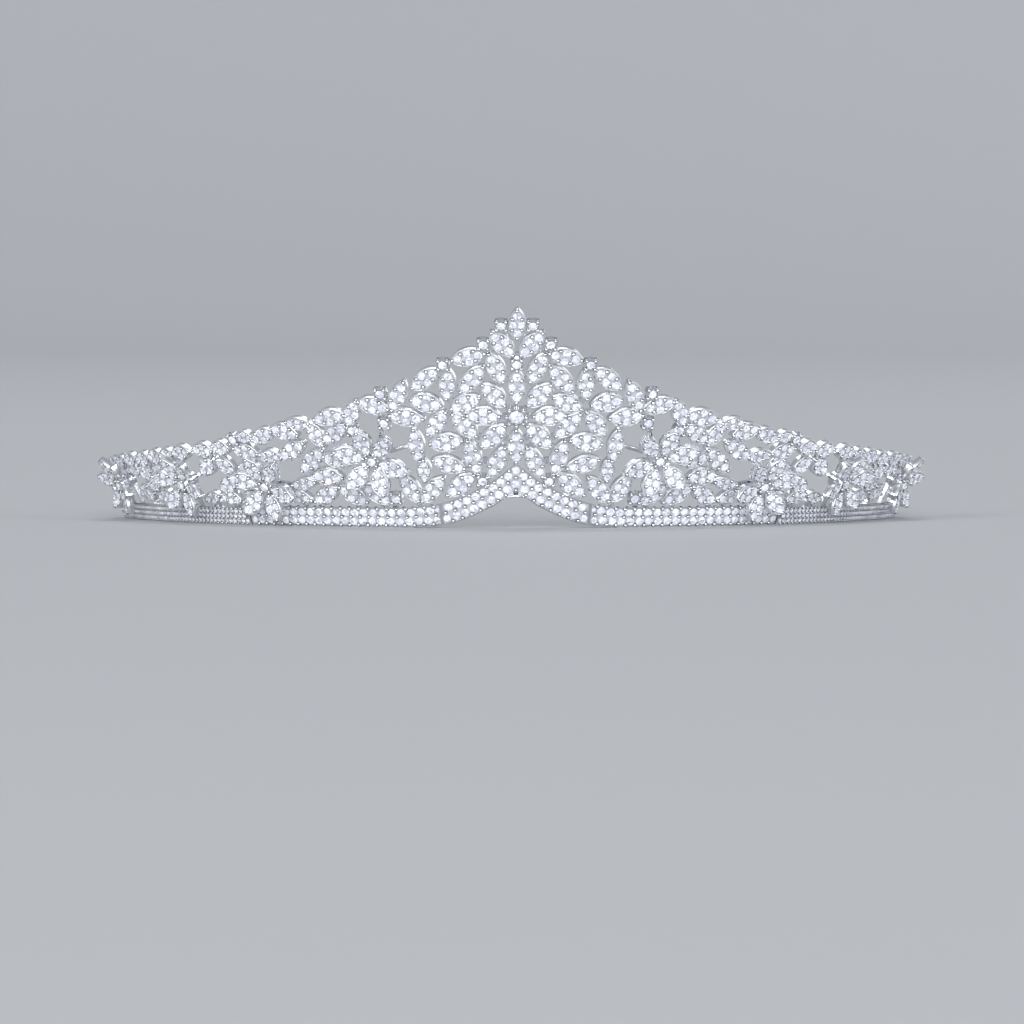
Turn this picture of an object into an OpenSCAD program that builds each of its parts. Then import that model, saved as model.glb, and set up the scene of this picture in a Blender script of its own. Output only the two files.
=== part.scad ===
// A diadem: an openwork jewelled front of pointed leaves and raised flowers on a stone-set rim,
// five cast sections side by side, with a plain arm behind each ear that ends in a small loop.
// It stands on the rim's lower edge, with the origin on the ground in the middle of its outline.
// X is to the wearer's left, Y to the back, Z up.

/* [Front] */
// Radius of the rim's outer face at its lower edge
rim_r = 72; // [66:1:80]
// Lean of the jewelled wall, outwards from upright, in degrees
wall_lean = 25; // [15:1:32]
// Height of the peak, measured up the leaning wall
peak_h = 43.1; // [36:0.1:50]
// Half of the jewelled front's length, along the rim's lower edge
jewel_arc = 103.2; // [96:0.1:110]

/* [Sections] */
// Gap at each seam between two sections
seam_gap = 0.2; // [0.15:0.01:0.4]

/* [Rim] */
// Thickness of the rim from front to back
band_t = 1.9; // [1.6:0.1:2.6]
// Bright edge along the rim's stones
rim_edge = 0.22; // [0.2:0.01:0.3]
// Height of the rim on the end sections
end_band_h = 3.5; // [3.3:0.05:4]

/* [Leaves] */
// Thickness of a leaf plate
leaf_t = 1.1; // [0.9:0.1:1.5]
// Metal edge round a leaf's stones
leaf_edge = 0.15; // [0.1:0.01:0.2]
// Radius of the bead at each point of a leaf
tip_r = 0.45; // [0.4:0.01:0.55]
// Width of a thin strut between the leaves
strut_w = 0.7; // [0.6:0.05:0.9]
// Height of a raised flower's middle above the wall
flower_lift = 1.9; // [1.6:0.1:2.6]
// Rise of a raised petal towards its tip, in degrees
petal_rise = 16; // [8:1:26]

/* [Stones] */
// Diameter of a rim stone on the centre and side sections
rim_stone_d = 1.6; // [1.4:0.05:1.7]
// Diameter of an accent stone between the leaves
accent_d = 1.7; // [1.5:0.05:1.9]
// Diameter of the star's middle stone
star_d = 2.8; // [2.5:0.05:2.9]
// Clearance between a stone and what is next to it
stone_gap = 0.1; // [0.1:0.01:0.14]

/* [Arms] */
// Where the arm starts behind the rim, in degrees from the middle
arm_start_angle = 62; // [58:1:70]
// Where the arm ends, in degrees from the middle
arm_end_angle = 115; // [105:1:125]
// Height of the arm
arm_h = 2.6; // [2:0.1:3.2]
// Thickness of the arm
arm_t = 1.2; // [1:0.1:1.6]
// Bore of the loop at the arm's end
loop_bore = 1.9; // [1.6:0.1:2.4]
// Wire of the loop at the arm's end
loop_wire = 0.8; // [0.7:0.05:1]

/* [Hidden] */
$fn = 48;

// Height of the rim on the side sections, which holds two rows of stones
side_band_h = 2 * rim_stone_d + 3 * stone_gap + 2 * rim_edge;

// The lace is charted on a sheet as long as half the front and as high as the peak.
// Each place in it is a share of that sheet, so it follows the front's own length and height.
sheet_arc = 103.2;
sheet_top = 43.1;
sheet_rim = 3.94;
function arc_scale() = jewel_arc / sheet_arc;
function rise_scale() = (peak_h - side_band_h) / (sheet_top - sheet_rim);
function arc_at(a) = a * arc_scale();
function up_at(u) = side_band_h + (u - sheet_rim) * rise_scale();
// Widths on the sheet follow the way that is stretched most, so neighbours keep touching
function wide_at(w) = w * max(arc_scale(), rise_scale());

// Leaves on the middle line, each from its tail to its tip, with its width
MIDDLE_LEAVES = [
    // tail along, tail up, tip along, tip up, width
    [0, 37.2, 0, 43.1, 2.9],
    [0, 24.5, 0, 31.3, 3.0],
    [0, 19.5, 0, 12.6, 3.1]
];
// Leaves of the centre section's left half; the right half mirrors them
CENTRE_LEAVES = [
    // tail along, tail up, tip along, tip up, width
    [0.5, 33.9, 3.9, 38.7, 3.2],
    [2.0, 28.6, 4.3, 34.6, 3.1],
    [4.6, 34.5, 9.9, 33.0, 3.2],
    [4.9, 32.0, 8.8, 26.7, 3.2],
    [11.0, 25.2, 10.3, 31.3, 2.9],
    [11.8, 31.4, 16.3, 27.4, 3.2],
    [11.6, 24.1, 16.7, 25.3, 3.5],
    [11.0, 23.0, 14.5, 18.2, 3.1],
    [10.3, 22.6, 6.3, 17.9, 3.2],
    [10.4, 23.4, 5.6, 25.8, 3.3],
    [1.7, 24.0, 5.4, 28.4, 3.3],
    [2.5, 22.0, 8.0, 22.2, 3.5],
    [1.6, 20.3, 5.8, 15.9, 3.3],
    [1.7, 16.0, 4.6, 9.8, 3.0],
    [8.0, 17.4, 6.3, 10.3, 3.1],
    [8.6, 17.2, 14.3, 16.5, 3.4],
    [8.4, 11.6, 14.1, 13.4, 3.1],
    [6.9, 10.6, 12.0, 6.2, 3.2]
];
// Leaves of the left side section; the right one mirrors them
SIDE_LEAVES = [
    // tail along, tail up, tip along, tip up, width
    [12.2, 9.9, 16.5, 4.9, 3.2],
    [16.9, 4.9, 19.6, 10.4, 3.0],
    [15.6, 8.9, 15.5, 13.6, 2.4],
    [16.1, 12.8, 16.7, 19.6, 2.8],
    [14.7, 21.4, 20.5, 22.2, 3.3],
    [19.9, 22.9, 17.3, 29.0, 3.0],
    [20.2, 23.3, 25.4, 24.9, 3.2],
    [27.6, 20.1, 25.5, 25.1, 2.9],
    [27.7, 22.2, 33.5, 21.2, 3.2],
    [27.8, 20.1, 32.5, 16.8, 3.0],
    [27.9, 12.6, 33.2, 13.9, 3.1],
    [21.9, 4.7, 26.7, 8.3, 3.1],
    [26.2, 4.7, 31.4, 7.9, 3.1],
    [31.5, 7.5, 36.6, 4.7, 3.1],
    [30.0, 9.6, 35.8, 10.1, 3.2],
    [32.7, 15.3, 37.8, 10.8, 3.2],
    [32.6, 15.9, 34.6, 20.7, 3.0],
    [33.9, 20.0, 38.8, 20.7, 2.3],
    [36.8, 17.9, 41.8, 19.5, 3.1],
    [36.0, 16.6, 41.4, 13.4, 3.1],
    [35.4, 8.7, 40.5, 8.0, 2.2],
    [41.6, 18.8, 46.2, 16.8, 3.0],
    [45.9, 17.3, 49.2, 17.8, 2.2],
    [45.6, 14.1, 50.8, 15.3, 2.9],
    [41.0, 13.4, 45.6, 14.1, 2.6],
    [36.9, 4.9, 42.4, 6.8, 2.8],
    [46.4, 4.9, 51.0, 6.4, 2.8],
    [46.0, 11.0, 50.8, 11.6, 3.2]
];
// Leaves of the left end section; the right one mirrors them
END_LEAVES = [
    // tail along, tail up, tip along, tip up, width
    [51.6, 14.9, 55.6, 15.6, 2.8],
    [55.6, 14.5, 60.3, 14.9, 3.0],
    [61.5, 14.3, 66.3, 13.9, 2.9],
    [66.3, 13.6, 70.3, 13.1, 2.9],
    [69.9, 13.3, 74.4, 12.8, 2.9],
    [74.4, 12.5, 79.0, 12.4, 2.9],
    [79.6, 12.3, 84.3, 12.1, 2.8],
    [84.8, 11.8, 88.9, 11.4, 2.7],
    [89.1, 11.1, 93.7, 11.2, 2.8],
    [94.0, 10.8, 98.3, 9.9, 2.7],
    [98.4, 9.6, 101.8, 6.6, 2.7],
    [102.1, 7.2, 101.6, 3.4, 2.0],
    [51.9, 10.3, 55.4, 13.0, 3.0],
    [56.2, 12.9, 60.2, 10.0, 3.2],
    [52.0, 9.0, 56.6, 6.8, 3.1],
    [52.4, 4.6, 57.1, 6.0, 2.6],
    [57.4, 5.5, 61.6, 4.7, 2.3],
    [66.9, 4.8, 71.5, 5.8, 2.5],
    [71.6, 5.5, 76.2, 4.8, 2.5],
    [70.0, 9.6, 74.2, 10.8, 2.8],
    [73.4, 8.4, 77.9, 6.6, 3.0],
    [75.2, 10.2, 79.6, 9.2, 2.9],
    [77.1, 5.7, 81.0, 4.8, 2.4],
    [79.3, 7.0, 83.0, 5.1, 2.4],
    [80.0, 9.6, 83.6, 10.2, 2.2],
    [90.2, 4.8, 94.6, 5.4, 2.3],
    [92.9, 8.4, 97.2, 7.3, 2.8],
    [95.0, 5.4, 99.4, 4.9, 2.3]
];
// Small round studs that join neighbouring leaves, and the rim to the leaves above it
MIDDLE_STUDS = [
    // along, up
    [0, 34.0]
];
CENTRE_STUDS = [
    // along, up
    [0.8, 37.5],
    [2.7, 38.6],
    [3.2, 34.4],
    [4.7, 33.4],
    [4.8, 31.7],
    [1.6, 29.3],
    [2.6, 28.3],
    [6.3, 31.7],
    [9.0, 27.4],
    [8.2, 26.5],
    [12.0, 29.0],
    [14.9, 27.0],
    [12.1, 23.3],
    [10.7, 22.5],
    [10.2, 25.0],
    [5.4, 26.6],
    [4.2, 24.0],
    [3.6, 20.3],
    [1.7, 17.8],
    [6.1, 15.8],
    [2.6, 16.2],
    [5.1, 13.2],
    [8.4, 17.0],
    [8.3, 12.4],
    [11.6, 14.5],
    [13.3, 18.2],
    [9.3, 18.6],
    [6.0, 17.9],
    [9.2, 10.7],
    [8.9, 6.8]
];
SIDE_STUDS = [
    // along, up
    [16.8, 4.4],
    [16.8, 19.8],
    [20.0, 22.6],
    [20.1, 21.2],
    [31.2, 11.5],
    [31.6, 8.3],
    [26.2, 5.4],
    [21.3, 4.3],
    [23.0, 4.4],
    [28.2, 4.3],
    [35.6, 4.4],
    [38.4, 4.4],
    [48.0, 4.2],
    [35.2, 8.8],
    [36.0, 10.5],
    [38.6, 16.9],
    [32.7, 15.6],
    [48.4, 13.3]
];
END_STUDS = [
    // along, up
    [53.9, 13.6],
    [55.8, 12.8],
    [52.4, 9.7],
    [54.4, 3.77],
    [57.2, 5.5],
    [59.4, 3.77],
    [60.9, 14.6],
    [79.3, 12.4],
    [84.5, 12.0],
    [93.9, 11.0],
    [73.9, 9.2],
    [69.0, 3.77],
    [74.0, 3.77],
    [79.2, 3.77],
    [92.2, 3.77],
    [97.2, 3.77]
];
// Thin struts, each from one end to the other
SIDE_STRUTS = [
    // from along, from up, to along, to up
    [23.7, 14.0, 23.7, 3.9],
    [23.7, 14.0, 21.6, 19.8],
    [23.7, 14.0, 17.4, 16.2],
    [23.7, 14.0, 28.4, 12.8],
    [44.6, 8.6, 44.6, 3.9],
    [44.6, 8.6, 40.0, 8.0],
    [44.6, 8.6, 43.4, 12.8],
    [44.6, 8.6, 47.0, 10.9]
];
END_STRUTS = [
    // from along, from up, to along, to up
    [64.2, 8.6, 63.8, 3.4],
    [64.2, 8.6, 59.8, 10.2],
    [64.2, 8.6, 64.2, 12.9],
    [64.2, 8.6, 70.6, 9.8],
    [86.6, 8.0, 85.9, 3.4],
    [86.6, 8.0, 83.2, 10.1],
    [86.6, 8.0, 86.8, 10.8],
    [86.6, 8.0, 93.4, 8.2]
];
// Raised flowers of the left half, by their middles on the sheet
SIDE_FLOWERS = [
    // along, up, size of its petals
    [23.7, 14.0, 0.98],
    [44.6, 8.6, 0.95]
];
END_FLOWERS = [
    // along, up, size of its petals
    [64.2, 8.6, 0.85],
    [86.6, 8.0, 0.78]
];
// One flower's petals
PETALS = [
    // turn from pointing left, length, width
    [-45, 5.6, 3.3],
    [22, 6.0, 3.4],
    [76, 5.6, 3.2],
    [129, 5.3, 3.1],
    [194, 6.0, 3.4],
    [253, 5.4, 3.2]
];
// Accent stones of the left half, by their middles on the sheet
CENTRE_ACCENTS = [
    // along, up
    [2.3, 40.0],
    [4.95, 36.3],
    [11.1, 32.3],
    [5.6, 9.3]
];
SIDE_ACCENTS = [
    // along, up
    [21.3, 26.5],
    [26.9, 19.2],
    [21.3, 20.7],
    [21.0, 5.7],
    [50.0, 17.1]
];
// Middles on the sheet of the two stones that sit on the middle line
TOP_ACCENT = [0, 32.4];
STAR = [0, 22];
// Middle of the small hole under the rim's point
POINT_HOLE = [0, 7.15];

// The rim's sweep, which rises to a point under the star and runs out into the level rim
SWEEP = [
    // along, lower edge, upper edge, how far the lower stones are raised off their edge
    [0, 6.2, 12.9, 1.2],
    [1.84, 5.9, 11.15, 0],
    [3.85, 4.3, 9.4, 0],
    [6.4, 2.9, 7.8, 0],
    [8.85, 1.7, 6.4, 0],
    [11.4, 0.8, 5.3, 0],
    [13.9, 0.3, 4.6, 0],
    [18.9, 0, 3.95, 0]
];
// Columns of the sweep
LOWER_EDGE = 1;
UPPER_EDGE = 2;
STONES_RAISED = 3;

// Where the sections meet, along the rim from the middle
centre_end = 13.1;
side_end = 51.4;

// A cut stone's table radius, crown height and pavilion depth, as shares of its diameter
table_share = 0.3;
crown_share = 0.15;
pavilion_share = 0.43;
// Height of a stone's widest line above (+) or below (-) the face that it is set in
rim_stone_lift = -0.05;
accent_lift = 0.35;
stone_pitch = rim_stone_d + stone_gap * 1.5;

// Depths and heights, measured inwards or outwards from the face they belong to
lace_setback = 0.15;
bed_depth = rim_stone_d * pavilion_share - rim_stone_lift + stone_gap;
collet_wall = 0.3;
collet_top = 0.25;
collet_floor = 0.4;
point_hole_r = 0.4;
stud_r = 0.6;
stud_top = 0.2;
stud_foot = 0.95;
strut_top = 0.3;
strut_foot = 0.85;
flower_disc_r = 1.4;
flower_post_r = 1.0;
calyx_r = 2.1;
calyx_drop = 0.2;
petal_start = 1.5;
star_bead_r = 0.5;
star_bead_gap = 0.05;
end_rows = 3;
end_row_wall = 0.3;
end_row_edge = 0.45;
end_row_depth = 0.45;
arm_gap = 0.1;
loop_length = 1.2;
cut_margin = 1;

// Reach of the peak to the front and of the arms to the back, from the rim's own middle
front_reach = rim_r + peak_h * sin(wall_lean);
back_reach = -wall_point(arm_h, -band_t - arm_gap)[0] * cos(arm_end_angle);

function angle_at(a) = arc_at(a) / rim_r * 180 / PI;
function sheet_stretch(u) = arc_scale() * (1 + up_at(u) * sin(wall_lean) / rim_r);

// A point on the wall seen from the side: radius and height, at a slant height and a lift off the wall
function wall_point(slant, lift) = [
    rim_r + slant * sin(wall_lean) + lift * cos(wall_lean),
    slant * cos(wall_lean) - lift * sin(wall_lean)
];

// Stands its children, drawn flat, on the wall at a place of the sheet; their top looks outwards
module on_wall(a, u, turn = 0, lift = 0) {
    rotate([0, 0, angle_at(a)])
        translate([0, -rim_r, 0])
            rotate([90 + wall_lean, 0, 0])
                translate([0, up_at(u), lift - lace_setback])
                    rotate([0, 0, turn])
                        children();
}

// A band of the wall between two angles from the middle; its lower edge lies flat on the ground
module wall_band(from_angle, to_angle, top, inner, outer) {
    rotate([0, 0, from_angle - 90])
        rotate_extrude(angle = to_angle - from_angle, $fn = 180)
            polygon([
                [rim_r + inner / cos(wall_lean), 0],
                [rim_r + outer / cos(wall_lean), 0],
                wall_point(top, outer),
                wall_point(top, inner)
            ]);
}

// A channel along the wall between two angles and two slant heights, cut to a depth
module wall_channel(from_angle, to_angle, low, high, depth) {
    rotate([0, 0, from_angle - 90])
        rotate_extrude(angle = to_angle - from_angle, $fn = 180)
            polygon([
                wall_point(low, -depth),
                wall_point(low, cut_margin),
                wall_point(high, cut_margin),
                wall_point(high, -depth)
            ]);
}

// A pointed leaf's outline between two arcs, with a small bead at each point
module leaf_outline(leaf_l, leaf_w) {
    arc_r = (leaf_l * leaf_l / 4 + leaf_w * leaf_w / 4) / leaf_w;
    arc_off = arc_r - leaf_w / 2;
    intersection() {
        translate([0, -arc_off])
            circle(arc_r + leaf_edge, $fn = 96);
        translate([0, arc_off])
            circle(arc_r + leaf_edge, $fn = 96);
    }
    for (end = [-1, 1])
        translate([end * (leaf_l / 2 - tip_r * 2 / 3), 0])
            circle(tip_r, $fn = 24);
}

// One leaf of the lace, from a row of the chart
module leaf(row) {
    middle_u = (row[1] + row[3]) / 2;
    run = (row[2] - row[0]) * sheet_stretch(middle_u);
    rise = (row[3] - row[1]) * rise_scale();
    on_wall((row[0] + row[2]) / 2, middle_u, atan2(rise, run), -leaf_t)
        linear_extrude(leaf_t)
            leaf_outline(norm([run, rise]), wide_at(row[4]));
}

module stud(spot) {
    on_wall(spot[0], spot[1], 0, -stud_foot)
        cylinder(h = stud_foot - stud_top, r = wide_at(stud_r), $fn = 24);
}

module strut(row) {
    middle_u = (row[1] + row[3]) / 2;
    run = (row[2] - row[0]) * sheet_stretch(middle_u);
    rise = (row[3] - row[1]) * rise_scale();
    on_wall((row[0] + row[2]) / 2, middle_u, atan2(rise, run), -strut_foot)
        translate([-norm([run, rise]) / 2, -strut_w / 2, 0])
            cube([norm([run, rise]), strut_w, strut_foot - strut_top]);
}

// Depths of a cup's seat and of its foot under the face, for a stone of this diameter
function seat_depth(stone_d) = stone_d * pavilion_share - accent_lift + stone_gap;
function collet_foot(stone_d) = seat_depth(stone_d) + collet_floor;

// A round cup for one stone, drawn with the wall's face at zero
module collet(stone_d) {
    bore_r = stone_d / 2 + stone_gap;
    difference() {
        translate([0, 0, -collet_foot(stone_d)])
            cylinder(h = collet_foot(stone_d) + collet_top, r = bore_r + collet_wall);
        translate([0, 0, -seat_depth(stone_d)])
            cylinder(h = seat_depth(stone_d) + collet_top + cut_margin, r = bore_r);
    }
}

// A raised flower: a post on the wall, a round plate under six petals that rise outwards, and a cup
module flower(row) {
    size = row[2];
    post_top = flower_lift - seat_depth(accent_d) - collet_floor / 2;
    on_wall(row[0], row[1]) {
        translate([0, 0, -leaf_t + stud_top / 2])
            cylinder(h = leaf_t - stud_top, r = flower_disc_r);
        translate([0, 0, -strut_foot])
            cylinder(h = strut_foot + post_top, r = flower_post_r);
        difference() {
            translate([0, 0, flower_lift - stud_top - leaf_t - calyx_drop])
                cylinder(h = leaf_t + calyx_drop, r = calyx_r * size);
            translate([0, 0, flower_lift - seat_depth(accent_d) - collet_floor / 4])
                cylinder(h = seat_depth(accent_d) + collet_floor, r = accent_d / 2 + stone_gap + collet_wall / 2);
        }
        translate([0, 0, flower_lift])
            collet(accent_d);
        for (petal = PETALS)
            rotate([0, 0, petal[0]])
                translate([0, 0, flower_lift - stud_top])
                    rotate([0, -petal_rise, 0])
                        translate([petal_start + petal[1] * size / 2, 0, -leaf_t])
                            linear_extrude(leaf_t)
                                leaf_outline(petal[1] * size, petal[2] * size);
    }
}

// A round stone of eight-fold cut: an octagon table, eight crown and eight pavilion facets
module round_stone(d) {
    ring = [for (i = [0 : 7]) [cos(i * 45), sin(i * 45)]];
    points = concat(
        [for (c = ring) [c[0] * d * table_share, c[1] * d * table_share, d * crown_share]],
        [for (c = ring) [c[0] * d / 2, c[1] * d / 2, 0]],
        [[0, 0, -d * pavilion_share]]
    );
    faces = concat(
        [[7, 6, 5, 4, 3, 2, 1, 0]],
        [for (i = [0 : 7]) [i, (i + 1) % 8, 8 + (i + 1) % 8, 8 + i]],
        [for (i = [0 : 7]) [8 + i, 8 + (i + 1) % 8, 16]]
    );
    polyhedron(points, faces);
}

half_seam = seam_gap / 2 / rim_r * 180 / PI;
centre_angle = angle_at(centre_end);
side_angle = angle_at(side_end);
end_angle = angle_at(sheet_arc);

// Slant height of a column of the sweep; the rim's own height sets the spacing of the columns
function sweep_up(row, column) =
    row[LOWER_EDGE] * rise_scale() + (row[column] - row[LOWER_EDGE]) * side_band_h / sheet_rim;

// A point of the wall's outer face as it is seen from straight in front
function front_point(a, slant) = [
    (rim_r + slant * sin(wall_lean)) * sin(angle_at(a)),
    slant * cos(wall_lean)
];
function mirrored(points) = [for (i = [len(points) - 1 : -1 : 0]) [-points[i][0], points[i][1]]];

// The rim seen from in front between its two edges, drawn in by an inset, and level past the sweep
module sweep_prism(inset) {
    far = rim_r * 1.4;
    level_top = side_band_h * cos(wall_lean) - inset;
    level_foot = inset > 0 ? inset : -cut_margin;
    upper = [for (row = SWEEP) front_point(row[0], sweep_up(row, UPPER_EDGE)) - [0, inset]];
    lower = [for (row = SWEEP) front_point(row[0], sweep_up(row, LOWER_EDGE)) + [0, inset]];
    half = concat(upper, [[far, level_top], [far, level_foot]]);
    level_start = [lower[len(lower) - 1][0] + seam_gap, level_foot];
    under = concat([level_start], [for (i = [len(lower) - 1 : -1 : 1]) lower[i]]);
    outline = concat(half, under, [lower[0]], mirrored(under), mirrored(half));
    rotate([90, 0, 0])
        linear_extrude(rim_r * 2)
            polygon(outline);
}

// The rim of the centre and side sections: a band of the wall cut to the sweep, with a bed for its stones
module swept_rim(from_angle, to_angle) {
    top = sweep_up(SWEEP[0], UPPER_EDGE) + cut_margin;
    bed_end = rim_edge / rim_r * 180 / PI;
    difference() {
        intersection() {
            wall_band(from_angle, to_angle, top, -band_t, 0);
            sweep_prism(0);
        }
        intersection() {
            wall_band(from_angle + bed_end, to_angle - bed_end, top + cut_margin, -bed_depth, cut_margin);
            sweep_prism(rim_edge);
        }
    }
}

// Steepest run of an edge of the sweep beside one of its rows
function sweep_slope(i, edge) =
    max([for (k = [max(i - 1, 0) : min(i, len(SWEEP) - 2)])
        abs(SWEEP[k + 1][edge] - SWEEP[k][edge]) * rise_scale()
            / (arc_at(SWEEP[k + 1][0]) - arc_at(SWEEP[k][0]))]);

// Stones in rows: a path on the wall in lengths along the rim and up the slope, clear of the rim's edge
row_inset = rim_edge + stone_gap + rim_stone_d / 2;
function row_up(i, edge) =
    let (off = row_inset * sqrt(1 + pow(sweep_slope(i, edge), 2)))
    edge == UPPER_EDGE
        ? sweep_up(SWEEP[i], edge) - off
        : sweep_up(SWEEP[i], edge) + off + SWEEP[i][STONES_RAISED] * rise_scale();
function row_path(edge) = concat(
    [for (i = [0 : len(SWEEP) - 1]) [arc_at(SWEEP[i][0]), row_up(i, edge)]],
    [[arc_at(side_end), row_up(len(SWEEP) - 1, edge)]]
);
function walk(path, far, i = 0) =
    let (step = norm(path[i + 1] - path[i]))
    far <= step || i == len(path) - 2
        ? path[i] + (path[i + 1] - path[i]) * far / step
        : walk(path, far - step, i + 1);
function walk_length(path, i = 0) =
    i == len(path) - 1 ? 0 : norm(path[i + 1] - path[i]) + walk_length(path, i + 1);

// Stands its children on the wall at a length along the rim and a slant height
module on_slope(along, slant, lift) {
    rotate([0, 0, along / rim_r * 180 / PI])
        translate([0, -rim_r, 0])
            rotate([90 + wall_lean, 0, 0])
                translate([0, slant, lift])
                    children();
}

// Colours
METAL = [0.86, 0.87, 0.89];
STONE = [0.93, 0.95, 1];

module star_setting() {
    bead_ring = star_d / 2 + stone_gap + star_bead_gap + star_bead_r;
    on_wall(STAR[0], STAR[1]) {
        collet(star_d);
        for (i = [0 : 7])
            rotate([0, 0, i * 45])
                translate([bead_ring, 0, -stud_foot])
                    cylinder(h = stud_foot, r = star_bead_r, $fn = 24);
    }
}

// One half of what the centre section carries to the side of its middle line
module centre_half() {
    for (row = CENTRE_LEAVES)
        leaf(row);
    for (spot = CENTRE_STUDS)
        stud(spot);
    for (spot = CENTRE_ACCENTS)
        on_wall(spot[0], spot[1])
            collet(accent_d);
}

module center_section() {
    color(METAL) {
        difference() {
            swept_rim(half_seam - centre_angle, centre_angle - half_seam);
            on_wall(POINT_HOLE[0], POINT_HOLE[1], 0, -band_t * 2)
                cylinder(h = band_t * 3, r = point_hole_r, $fn = 24);
        }
        for (row = MIDDLE_LEAVES)
            leaf(row);
        for (spot = MIDDLE_STUDS)
            stud(spot);
        on_wall(TOP_ACCENT[0], TOP_ACCENT[1])
            collet(accent_d);
        star_setting();
        centre_half();
        mirror([1, 0, 0])
            centre_half();
    }
}

module left_side_section() {
    color(METAL) {
        swept_rim(centre_angle + half_seam, side_angle - half_seam);
        for (row = SIDE_LEAVES)
            leaf(row);
        for (spot = SIDE_STUDS)
            stud(spot);
        for (row = SIDE_STRUTS)
            strut(row);
        for (spot = SIDE_ACCENTS)
            on_wall(spot[0], spot[1])
                collet(accent_d);
        for (row = SIDE_FLOWERS)
            flower(row);
    }
}

module left_end_section() {
    row_end = rim_edge / rim_r * 180 / PI;
    row_pitch = (end_band_h - end_row_edge * 2 + end_row_wall) / end_rows;
    color(METAL) {
        difference() {
            wall_band(side_angle + half_seam, end_angle, end_band_h, -band_t, 0);
            for (i = [0 : end_rows - 1])
                wall_channel(
                    side_angle + half_seam + row_end,
                    end_angle - row_end,
                    end_row_edge + i * row_pitch,
                    end_row_edge + (i + 1) * row_pitch - end_row_wall,
                    end_row_depth
                );
        }
        for (row = END_LEAVES)
            leaf(row);
        for (spot = END_STUDS)
            stud(spot);
        for (row = END_STRUTS)
            strut(row);
        for (row = END_FLOWERS)
            flower(row);
    }
}

// A plain leaning strip behind the rim that runs back to a small upright ring
module left_arm() {
    outer = -band_t - arm_gap;
    ring_r = loop_bore / 2 + loop_wire;
    corner_out = rim_r + (outer - arm_t) / cos(wall_lean);
    corner_in = corner_out * sin(arm_end_angle);
    ring_at = [corner_in - loop_bore / 2 - arm_gap, -corner_out * cos(arm_end_angle), ring_r];
    color(METAL)
        difference() {
            union() {
                wall_band(arm_start_angle, arm_end_angle, arm_h, outer - arm_t, outer);
                translate(ring_at)
                    rotate([90, 0, 0])
                        cylinder(h = loop_length, r = ring_r, center = true);
            }
            translate(ring_at)
                rotate([90, 0, 0])
                    cylinder(h = loop_length * 2, r = loop_bore / 2, center = true);
        }
}

// Two rows of rim stones, each counted from the middle, that lie wholly between two places along the rim
module rim_stones(from_along, to_along, first) {
    for (edge = [LOWER_EDGE, UPPER_EDGE])
        let (path = row_path(edge), count = floor(walk_length(path) / stone_pitch))
            for (i = [first : count])
                let (spot = walk(path, i * stone_pitch))
                    if (spot[0] - rim_stone_d / 2 >= from_along && spot[0] + rim_stone_d / 2 <= to_along)
                        on_slope(spot[0], spot[1], rim_stone_lift)
                            round_stone(rim_stone_d);
}

module center_rim_stones() {
    reach = arc_at(centre_end) - seam_gap / 2 - rim_edge - stone_gap;
    color(STONE) {
        rim_stones(-reach, reach, 0);
        mirror([1, 0, 0])
            rim_stones(-reach, reach, 1);
    }
}

module left_rim_stones() {
    margin = seam_gap / 2 + rim_edge + stone_gap;
    color(STONE)
        rim_stones(arc_at(centre_end) + margin, arc_at(side_end) - margin, 0);
}

module accent_stone(n) {
    spot = concat(CENTRE_ACCENTS, SIDE_ACCENTS)[n - 1];
    color(STONE)
        on_wall(spot[0], spot[1], 0, accent_lift)
            round_stone(accent_d);
}

module flower_stone(n) {
    row = concat(SIDE_FLOWERS, END_FLOWERS)[n - 1];
    color(STONE)
        on_wall(row[0], row[1], 0, flower_lift + accent_lift)
            round_stone(accent_d);
}

module star_stone() {
    color(STONE)
        on_wall(STAR[0], STAR[1], 0, accent_lift)
            round_stone(star_d);
}

module top_accent_stone() {
    color(STONE)
        on_wall(TOP_ACCENT[0], TOP_ACCENT[1], 0, accent_lift)
            round_stone(accent_d);
}

// Puts the origin on the ground in the middle of the whole outline
module placed() {
    translate([0, (front_reach - back_reach) / 2, 0])
        children();
}

placed() center_section();
placed() left_side_section();
placed() mirror([1, 0, 0]) left_side_section();  // right_side_section
placed() left_end_section();
placed() mirror([1, 0, 0]) left_end_section();  // right_end_section
placed() left_arm();
placed() mirror([1, 0, 0]) left_arm();  // right_arm
placed() star_stone();
placed() top_accent_stone();
placed() center_rim_stones();
placed() left_rim_stones();
placed() mirror([1, 0, 0]) left_rim_stones();  // right_rim_stones
for (n = [1 : 9]) {
    placed() accent_stone(n);
    placed() mirror([1, 0, 0]) accent_stone(n);
}
for (n = [1 : 4]) {
    placed() flower_stone(n);
    placed() mirror([1, 0, 0]) flower_stone(n);
}
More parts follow.
